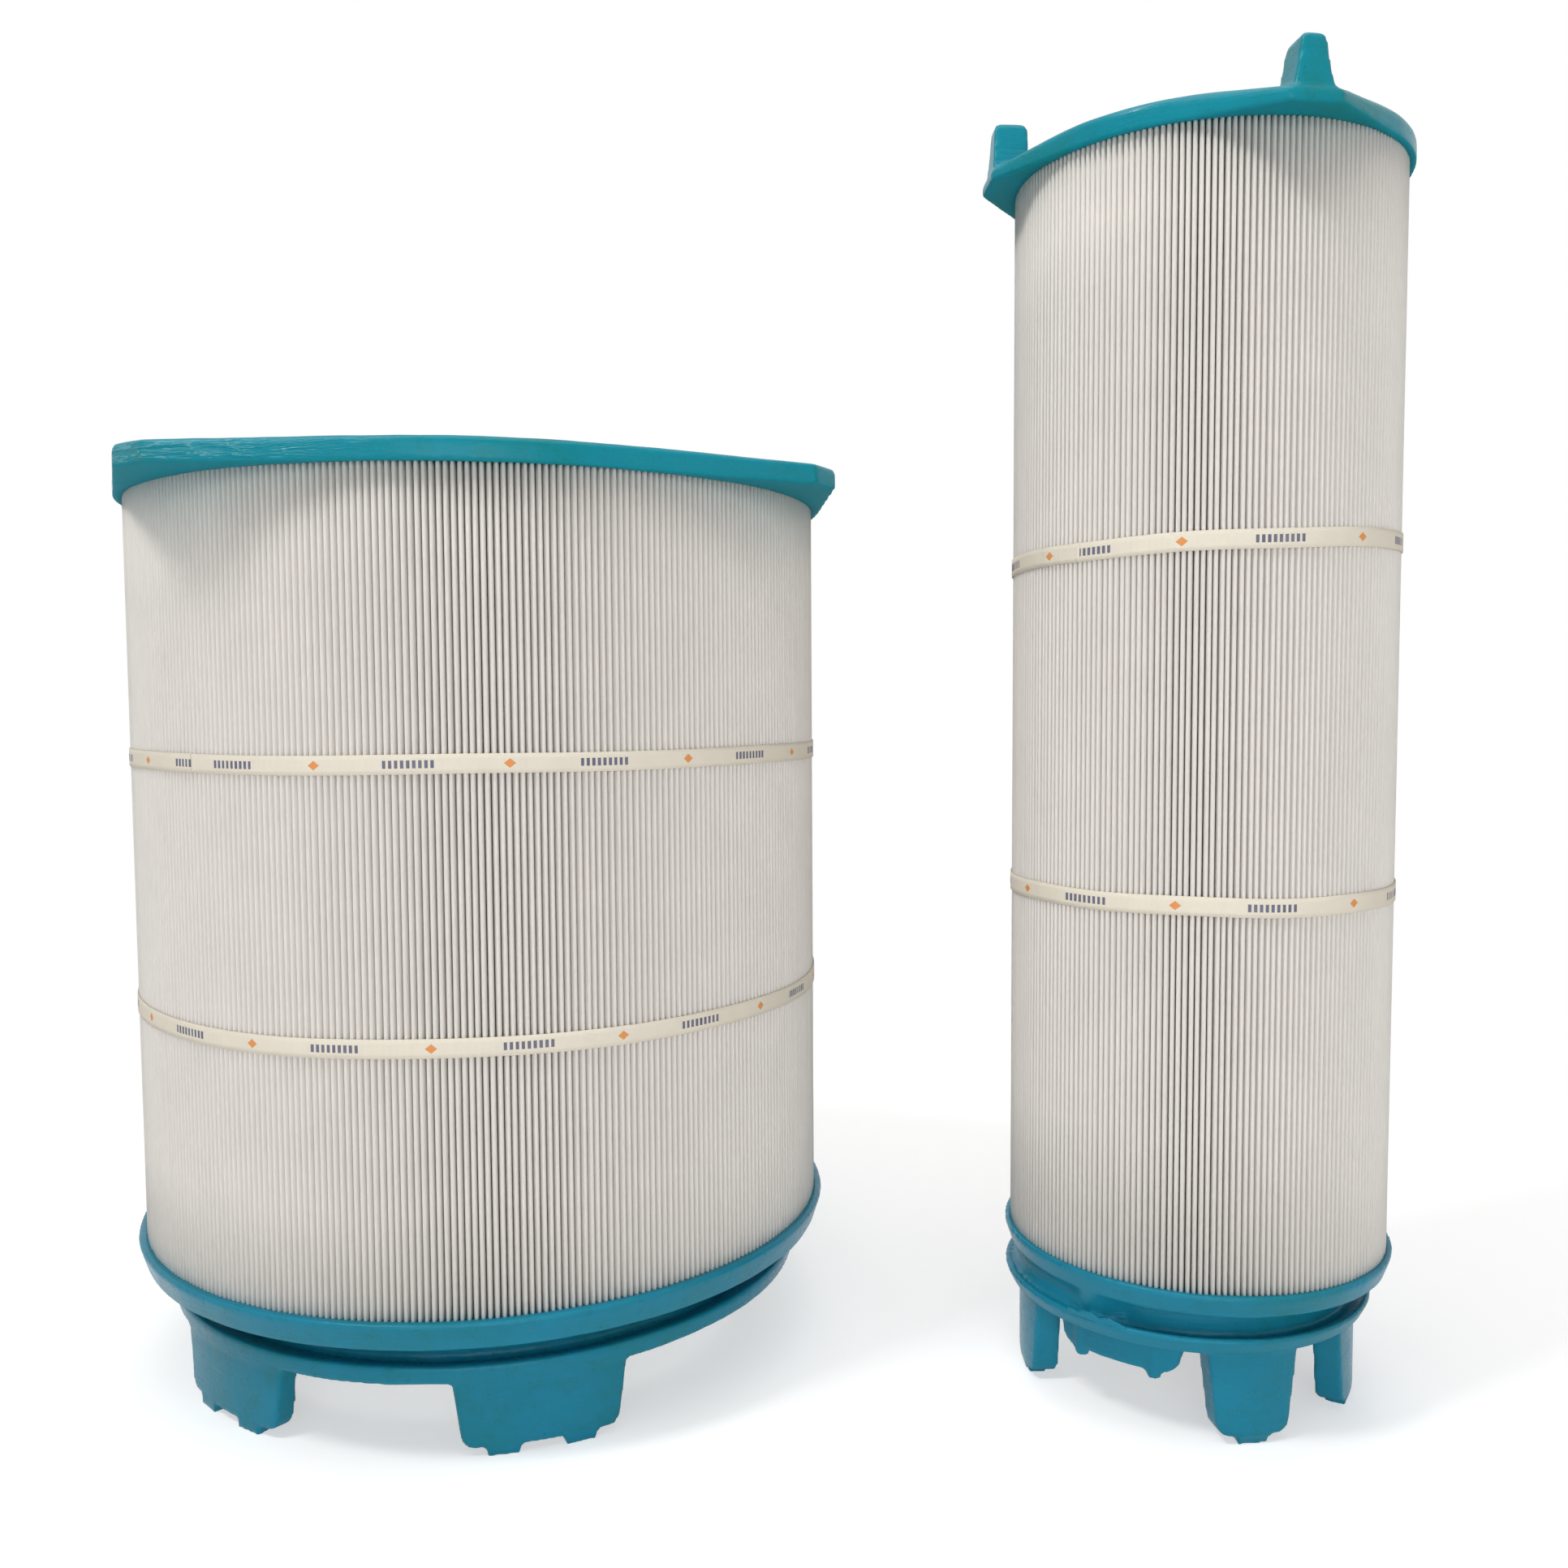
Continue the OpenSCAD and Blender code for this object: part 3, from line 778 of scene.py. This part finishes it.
class FilterStrapSettings(bpy.types.PropertyGroup):
    """Straps round the pleats."""
    cream: colour_prop("Tape", "Colour of the tape", (0.89, 0.82, 0.69))
    navy: colour_prop("Bars", "Colour of the printed bars", (0.035, 0.05, 0.16))
    orange: colour_prop("Spots", "Colour of the printed spots", (0.85, 0.30, 0.06))
    width: length_prop("Width", "Width of the tape", 12.7 * MM, 8 * MM, 20 * MM)
    thick: length_prop("Thickness", "Thickness of the tape", 0.6 * MM, 0.3 * MM, 1.2 * MM)
    clear: length_prop("Clearance", "Gap between pleat tips and tape", 0.1 * MM, 0.0, 0.5 * MM)
    lap: length_prop("Lap", "Length over which the ends overlap", 32 * MM, 20 * MM, 60 * MM)
    press: length_prop("Ridges", "How far the pleats press through the tape", 0.22 * MM, 0.0, 0.6 * MM)
    repeat: length_prop("Repeat", "Length of one repeat of the print", 125 * MM, 60 * MM, 200 * MM)


class FilterCapSettings(bpy.types.PropertyGroup):
    """Cast end caps."""
    top_colour: colour_prop("Top caps", "Colour of the top castings", (0.003, 0.26, 0.34))
    foot_colour: colour_prop("Bottom caps", "Colour of the bottom castings", (0.010, 0.23, 0.35))
    # Colour of the painted highlight on the crests of creases
    scuff: colour_prop("Glints", "Colour of glinting creases", (0.22, 0.52, 0.58))
    roughness: share_prop("Roughness", "Middle roughness of the castings", 0.30)
    ripple: length_prop("Ripple", "Height of flow ripples", 0.45 * MM, 0.0, 2.0 * MM)
    voxel: length_prop("Grain", "Size of the casting's mesh cells", 1.8 * MM, 1.5 * MM, 5.0 * MM)
    triangles: count_prop("Triangles", "Most triangles in a casting", 180000, 20000, 190000)
    uneven: length_prop("Unevenness", "Height of soft waves in the skin", 0.9 * MM, 0.0, 2.0 * MM)
    seal_r: length_prop("Seal radius", "Radius over the inner seal's edge", 131.5 * MM, 100 * MM, 140 * MM)
    seal_off: length_prop("Seal offset", "How far the inner seal sits off the pleats' axis",
                          7 * MM, 0.0, 14 * MM)
    neck_r: length_prop("Neck fill radius", "Radius of the run of resin under the inner ring",
                        131 * MM, 115 * MM, 134 * MM)
    ring_depth: length_prop("Ring depth", "From the foot of the pleats down to the neck",
                            16 * MM, 10 * MM, 30 * MM)
    lip_depth: length_prop("Lip depth", "From the foot of the pleats down to the seal's edge",
                           32 * MM, 20 * MM, 50 * MM)
    flash: length_prop("Flash", "Height of the torn fin on the inner seal", 4.6 * MM, 0.0, 6 * MM)


class FilterCoreSettings(bpy.types.PropertyGroup):
    """Support cores."""
    core: colour_prop("Core", "Colour of the support cores", (0.78, 0.79, 0.78))


class FilterStageSettings(bpy.types.PropertyGroup):
    """Studio."""
    floor: colour_prop("Floor", "Colour of the floor", (0.80, 0.80, 0.80))
    glow: share_prop("Glow", "White added to what is seen of the floor", 0.5)
    ambient: share_prop("Ambient", "Light from all round", 0.18)
    lens: bpy.props.FloatProperty(name="Lens", description="Focal length on a 36 mm sensor",
                                  default=32.38, unit="CAMERA")
    aside: length_prop("Camera aside", "How far right of the outer axis the camera stands",
                       0.2419, -2.0, 2.0)
    back: length_prop("Camera back", "How far in front of the outer axis the camera stands",
                      1.1521, 0.5, 4.0)
    height: length_prop("Camera height", "Height of the camera above the floor", 0.5066, 0.1, 2.0)
    pitch: angle_prop("Pitch", "How far the camera looks down", 0.0636)
    roll: angle_prop("Roll", "How far the camera leans", -0.0057)


# Operators

class FILTER_OT_pleats(bpy.types.Operator):
    """Fold the pleated packs of both modules"""
    bl_idname = "filterset.pleats"
    bl_label = "Pleated packs"

    def execute(self, context):
        settings = context.scene.filter_pleats
        fabric = finish_of(pleat_fabric, settings)
        for number, module in enumerate(SET.values()):
            count = getattr(settings, module.name + "_count")
            sheet = fold_pack(module, settings, count, PLEAT_SEED + number)
            hand_over(sheet, module, module.name + "_media", fabric)
        return {"FINISHED"}


class FILTER_OT_straps(bpy.types.Operator):
    """Wind the straps round both modules"""
    bl_idname = "filterset.straps"
    bl_label = "Straps"

    def execute(self, context):
        settings = context.scene.filter_straps
        tape = finish_of(strap_tape, settings)
        for number, ((name, which), (seam, print_at)) in enumerate(STRAPS.items()):
            module = SET[name]
            count = getattr(context.scene.filter_pleats, name + "_count")
            strip = wind_strap(module, which, settings, count, seam, print_at, STRAP_SEED + number)
            hand_over(strip, module, f"{name}_{which}_band", tape)
        return {"FINISHED"}


class FILTER_OT_caps(bpy.types.Operator):
    """Cast the four end caps"""
    bl_idname = "filterset.caps"
    bl_label = "End caps"

    def execute(self, context):
        settings = context.scene.filter_caps
        for module in SET.values():
            for which, maker in (("top", top_teal), ("bottom", foot_teal)):
                cap = recast(module, which, settings)
                teal = finish_of(maker, settings)
                hand_over(cap, module, f"{module.name}_{which}_cap", teal)
        return {"FINISHED"}


class FILTER_OT_cores(bpy.types.Operator):
    """Give the support cores their plastic"""
    bl_idname = "filterset.cores"
    bl_label = "Support cores"

    def execute(self, context):
        plastic = finish_of(core_plastic, context.scene.filter_cores)
        for name in MODULES:
            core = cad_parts[name + "_core"]
            core.data.materials.clear()
            core.data.materials.append(plastic)
        return {"FINISHED"}


# Studio

FLOOR_SIZE = 30
# Distances from the middle at which the floor begins to fade and has become white
FADE_START = 0.6
FADE_END = 1.25
SENSOR_WIDTH = 36.0
FARTHEST = 100.0

MIDDLE = (0.0, -0.05, 0.45)
# Place, point that is faced and size in metres, power in watts, colour, and whether gloss mirrors the lamp
SOFT_BOXES = {
    "key_light": ((-1.95, -1.35, 4.0), MIDDLE, 0.75, 58, (1.0, 0.99, 0.97), True),
    "right_light": ((2.3, -1.7, 1.0), MIDDLE, 1.4, 2.5, (1.0, 0.98, 0.95), True),
    "front_light": ((0.05, -3.0, 0.65), (0.05, -0.05, 0.1), 2.0, 27, (0.97, 0.985, 1.0), True),
    "low_light": ((0.45, -2.2, 0.2), (0.15, -0.1, 0.2), 1.0, 7, (1.0, 0.99, 0.97), False),
    "back_light": ((0.2, 3.2, 1.5), (0, 0, 0.45), 2.4, 36, (1.0, 0.99, 0.98), False),
    "overhead_light": ((0.0, -0.6, 4.0), (0, -0.1, 0.4), 3.0, 50, (1.0, 1.0, 1.0), True),
}


def soft_box(name, place, target, size, power, colour, in_gloss):
    """Square soft light at place that faces target, mirrored in glossy surfaces or not."""
    lamp = bpy.data.lights.new(name, "AREA")
    lamp.size = size
    lamp.energy = power
    lamp.color = colour
    made = bpy.data.objects.new(name, lamp)
    made.location = place
    made.visible_glossy = in_gloss
    made.rotation_euler = (Vector(target) - Vector(place)).to_track_quat("-Z", "Y").to_euler()
    bpy.context.scene.collection.objects.link(made)


def seen_directly(finish):
    """One for rays that see a surface from the camera, in a gloss or through glass, else nought."""
    camera, gloss, glass = (finish.add("ShaderNodeLightPath", output=f"Is {ray} Ray")
                            for ray in ("Camera", "Glossy", "Transmission"))
    return camera.larger(gloss).larger(glass)


def white_floor(settings):
    """Pale floor that takes the object's shadow and runs out into plain white away from it."""
    f = Finish(bpy.data.materials.new("studio_floor"))
    seen = seen_directly(f)
    pale = f.add("ShaderNodeBsdfDiffuse", inputs={"Color": flat(settings.floor)})
    glow = f.add("ShaderNodeEmission", inputs={"Color": WHITE, "Strength": seen * settings.glow})
    white = f.add("ShaderNodeEmission", inputs={"Color": WHITE, "Strength": 1.0})
    here = f.add("ShaderNodeTexCoord", output="Object")
    away = f.add("ShaderNodeVectorMath", {"operation": "LENGTH"}, {0: here}, "Value")
    far = f.fade(away, FADE_START, FADE_END)
    near = f.add("ShaderNodeAddShader", inputs={0: pale, 1: glow})
    whole = f.add("ShaderNodeMixShader", inputs={0: far * seen, 1: near, 2: white})
    return f.put_out(whole, "ShaderNodeOutputMaterial")


def white_air(settings):
    """World that lights softly from all round and is seen as plain white."""
    f = Finish(bpy.data.worlds.new("studio_air"))
    level = settings.ambient + seen_directly(f) * (1.0 - settings.ambient)
    air = f.add("ShaderNodeBackground", inputs={"Color": WHITE, "Strength": level})
    return f.put_out(air, "ShaderNodeOutputWorld")


def photo_camera(settings):
    """Camera at the photograph's viewing angle."""
    lens = bpy.data.cameras.new("photo_camera")
    lens.lens = settings.lens
    lens.sensor_width = SENSOR_WIDTH
    lens.clip_end = FARTHEST
    camera = bpy.data.objects.new("photo_camera", lens)
    stand = SET["outer"].axis + Vector((settings.aside, -settings.back, settings.height))
    tilt = Matrix.Rotation(math.pi / 2 - settings.pitch, 4, "X")
    camera.matrix_world = Matrix.Translation(stand) @ tilt @ Matrix.Rotation(settings.roll, 4, "Z")
    return camera


class FILTER_OT_stage(bpy.types.Operator):
    """Set the white floor, soft lights, world and camera"""
    bl_idname = "filterset.stage"
    bl_label = "Studio"

    def execute(self, context):
        scene = context.scene
        settings = scene.filter_stage
        scene.view_settings.view_transform = "Standard"
        clear()
        bpy.ops.mesh.primitive_plane_add(size=FLOOR_SIZE, location=(0, 0, 0))
        floor = context.object
        floor.name = "studio_floor"
        floor.data.materials.append(white_floor(settings))
        scene.world = white_air(settings)
        for name, box in SOFT_BOXES.items():
            soft_box(name, *box)
        camera = photo_camera(settings)
        scene.collection.objects.link(camera)
        scene.camera = camera
        return {"FINISHED"}


class FILTER_PT_set(bpy.types.Panel):
    """Lists the steps that dress the filter set"""
    bl_idname = "FILTER_PT_set"
    bl_label = "Filter set"
    bl_space_type = "VIEW_3D"
    bl_region_type = "UI"
    bl_category = "Filter set"

    def draw(self, context):
        for operator in OPERATORS:
            self.layout.operator(operator.bl_idname)


SETTINGS = {
    "filter_pleats": FilterPleatSettings,
    "filter_straps": FilterStrapSettings,
    "filter_caps": FilterCapSettings,
    "filter_cores": FilterCoreSettings,
    "filter_stage": FilterStageSettings,
}
OPERATORS = (FILTER_OT_stage, FILTER_OT_pleats, FILTER_OT_straps, FILTER_OT_caps, FILTER_OT_cores)
CLASSES = (*SETTINGS.values(), *OPERATORS, FILTER_PT_set)


def register():
    for made in CLASSES:
        bpy.utils.register_class(made)
    for name, group in SETTINGS.items():
        setattr(bpy.types.Scene, name, bpy.props.PointerProperty(type=group))


def unregister():
    for name in SETTINGS:
        delattr(bpy.types.Scene, name)
    for made in reversed(CLASSES):
        bpy.utils.unregister_class(made)


def main():
    register()
    bpy.ops.filterset.stage()
    bpy.ops.filterset.pleats()
    bpy.ops.filterset.straps()
    bpy.ops.filterset.caps()
    bpy.ops.filterset.cores()
    clear()


if __name__ == "__main__":
    main()
